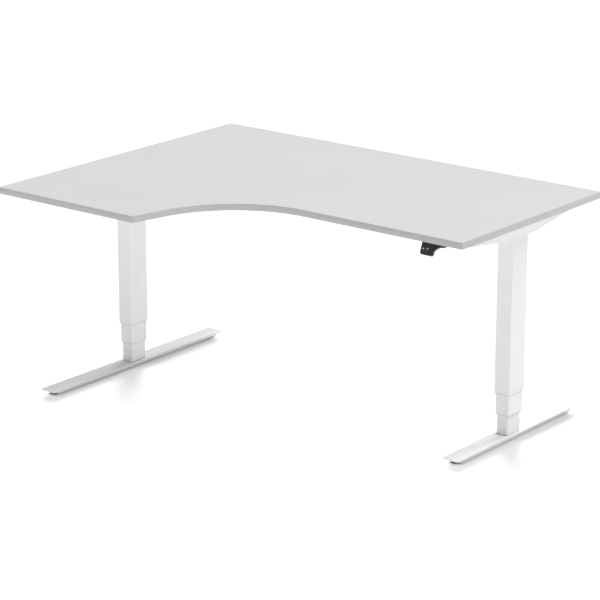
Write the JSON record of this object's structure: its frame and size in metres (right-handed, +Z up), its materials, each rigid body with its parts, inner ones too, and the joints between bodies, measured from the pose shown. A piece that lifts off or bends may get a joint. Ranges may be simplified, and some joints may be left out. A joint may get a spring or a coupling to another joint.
{
  "type": "height adjustable standing desk",
  "caption": "Corner standing desk: a light grey top with a swept front on telescopic lifting columns with T feet, powered from a control box under the top and worked by a two-key handset.",
  "frame": {"origin": "on the floor under the centre of the top's outer 1600 by 1200 mm rectangle", "axes": "+X to the user's right along the back edge, +Y from the user to the back edge, +Z up"},
  "size_m": [1.6, 1.2, 0.768],
  "materials": {
    "worktop": "light grey matt laminate",
    "edge": "light grey edge band",
    "white_steel": "fine white powder coat",
    "cast_head": "as cast",
    "nut_plastic": "moulded",
    "glide_plastic": "moulded, slippery",
    "motor_black": "black paint",
    "bright_steel": "rolled and ground",
    "zinc_screw": "zinc plated",
    "leveller_black": "moulded, matt",
    "lead_black": "matt sheath",
    "box_grey": "fine texture",
    "circuit_board": "solder resist",
    "housing_black": "fine texture",
    "face_grey": "satin",
    "key_grey": "satin"
  },
  "bodies": {
    "left_base": {"left_inner_tube": "white_steel", "left_base_plate": "bright_steel", "left_lower_nut": "nut_plastic", "left_foot_plate": "white_steel", "left_foot_beam": "white_steel", "left_foot_bolts": "zinc_screw"},
    "left_middle": {"left_middle_tube": "white_steel", "left_middle_glides": "glide_plastic", "left_upper_nut": "nut_plastic"},
    "left_upper_screw": {"left_upper_spindle": "bright_steel"},
    "left_lower_screw": {"left_lower_spindle": "bright_steel"},
    "left_rod": {"left_drive_rod": "bright_steel"},
    "left_front_foot_screw": {"left_front_leveller": "leveller_black"},
    "left_back_foot_screw": {"left_back_leveller": "leveller_black"},
    "right_base": {"right_inner_tube": "white_steel", "right_base_plate": "bright_steel", "right_lower_nut": "nut_plastic", "right_foot_plate": "white_steel", "right_foot_beam": "white_steel", "right_foot_bolts": "zinc_screw"},
    "right_middle": {"right_middle_tube": "white_steel", "right_middle_glides": "glide_plastic", "right_upper_nut": "nut_plastic"},
    "right_upper_screw": {"right_upper_spindle": "bright_steel"},
    "right_lower_screw": {"right_lower_spindle": "bright_steel"},
    "right_rod": {"right_drive_rod": "bright_steel"},
    "right_front_foot_screw": {"right_front_leveller": "leveller_black"},
    "right_back_foot_screw": {"right_back_leveller": "leveller_black"},
    "up_button": {"up_key": "key_grey"},
    "down_button": {"down_key": "key_grey"},
    "lift_frame": {"back_rail_sleeve": "white_steel", "back_rail_tube": "white_steel", "control_board": "circuit_board", "control_box_base": "box_grey", "control_box_cover": "box_grey", "edge_band": "edge", "frame_screws": "zinc_screw", "front_rail_sleeve": "white_steel", "front_rail_tube": "white_steel", "handset_board": "circuit_board", "handset_face": "face_grey", "handset_housing": "housing_black", "handset_lead": "lead_black", "lead_clips": "housing_black", "left_column_head": "cast_head", "left_gear_motor": "motor_black", "left_motor_lead": "lead_black", "left_outer_glides": "glide_plastic", "left_outer_tube": "white_steel", "left_side_arm": "white_steel", "mains_inlet": "housing_black", "right_column_head": "cast_head", "right_gear_motor": "motor_black", "right_motor_lead": "lead_black", "right_outer_glides": "glide_plastic", "right_outer_tube": "white_steel", "right_side_arm": "white_steel", "small_screws": "zinc_screw", "tabletop_panel": "worktop", "tabletop_screws": "zinc_screw"}
  },
  "joints": [
    {"name": "left_lower_lift", "type": "slide", "parent": "left_base", "child": "left_middle", "axis": [0, 0, 1], "range_m": [-0.065, 0.245]},
    {"name": "left_upper_lift", "type": "slide", "parent": "left_middle", "child": "lift_frame", "axis": [0, 0, 1], "range_m": [-0.065, 0.245]},
    {"name": "right_upper_lift", "type": "slide", "parent": "lift_frame", "child": "right_middle", "axis": [0, 0, -1], "range_m": [-0.065, 0.245]},
    {"name": "right_lower_lift", "type": "slide", "parent": "right_middle", "child": "right_base", "axis": [0, 0, -1], "range_m": [-0.065, 0.245]},
    {"name": "left_upper_screw_turn", "type": "hinge", "parent": "lift_frame", "child": "left_upper_screw", "pos_m": [-0.758, 0.022, 0.4], "axis": [0, 0, 1], "range_deg": [-1951, 7351]},
    {"name": "left_rod_turn", "type": "hinge", "parent": "lift_frame", "child": "left_rod", "pos_m": [-0.758, -0.014, 0.4], "axis": [0, 0, 1], "range_deg": [-1951, 7351]},
    {"name": "left_lower_screw_turn", "type": "hinge", "parent": "left_middle", "child": "left_lower_screw", "pos_m": [-0.758, -0.014, 0.4], "axis": [0, 0, 1], "range_deg": [-1951, 7351]},
    {"name": "left_front_level", "type": "slide", "parent": "left_base", "child": "left_front_foot_screw", "axis": [0, 0, -1], "range_m": [0, 0.004]},
    {"name": "left_back_level", "type": "slide", "parent": "left_base", "child": "left_back_foot_screw", "axis": [0, 0, -1], "range_m": [0, 0.004]},
    {"name": "right_upper_screw_turn", "type": "hinge", "parent": "lift_frame", "child": "right_upper_screw", "pos_m": [0.715, 0.224, 0.4], "axis": [0, 0, 1], "range_deg": [-1951, 7351]},
    {"name": "right_rod_turn", "type": "hinge", "parent": "lift_frame", "child": "right_rod", "pos_m": [0.715, 0.188, 0.4], "axis": [0, 0, 1], "range_deg": [-1951, 7351]},
    {"name": "right_lower_screw_turn", "type": "hinge", "parent": "right_middle", "child": "right_lower_screw", "pos_m": [0.715, 0.188, 0.4], "axis": [0, 0, 1], "range_deg": [-1951, 7351]},
    {"name": "right_front_level", "type": "slide", "parent": "right_base", "child": "right_front_foot_screw", "axis": [0, 0, -1], "range_m": [0, 0.004]},
    {"name": "right_back_level", "type": "slide", "parent": "right_base", "child": "right_back_foot_screw", "axis": [0, 0, -1], "range_m": [0, 0.004]},
    {"name": "up_press", "type": "slide", "parent": "lift_frame", "child": "up_button", "axis": [0, 0.9272, -0.3746], "range_m": [0, 0.0008], "stiffness_N_per_m": 600, "springref_m": -0.001},
    {"name": "down_press", "type": "slide", "parent": "lift_frame", "child": "down_button", "axis": [0, 0.9272, -0.3746], "range_m": [0, 0.0008], "stiffness_N_per_m": 600, "springref_m": -0.001}
  ],
  "couplings": [
    {"joint": "left_upper_lift", "follows": "left_lower_lift", "ratio": 1},
    {"joint": "right_upper_lift", "follows": "left_lower_lift", "ratio": 1},
    {"joint": "right_lower_lift", "follows": "left_lower_lift", "ratio": 1},
    {"joint": "left_upper_screw_turn", "follows": "left_lower_lift", "rad_per_m": 523.6},
    {"joint": "left_rod_turn", "follows": "left_lower_lift", "rad_per_m": 523.6},
    {"joint": "left_lower_screw_turn", "follows": "left_lower_lift", "rad_per_m": 523.6},
    {"joint": "right_upper_screw_turn", "follows": "left_lower_lift", "rad_per_m": 523.6},
    {"joint": "right_rod_turn", "follows": "left_lower_lift", "rad_per_m": 523.6},
    {"joint": "right_lower_screw_turn", "follows": "left_lower_lift", "rad_per_m": 523.6}
  ]
}
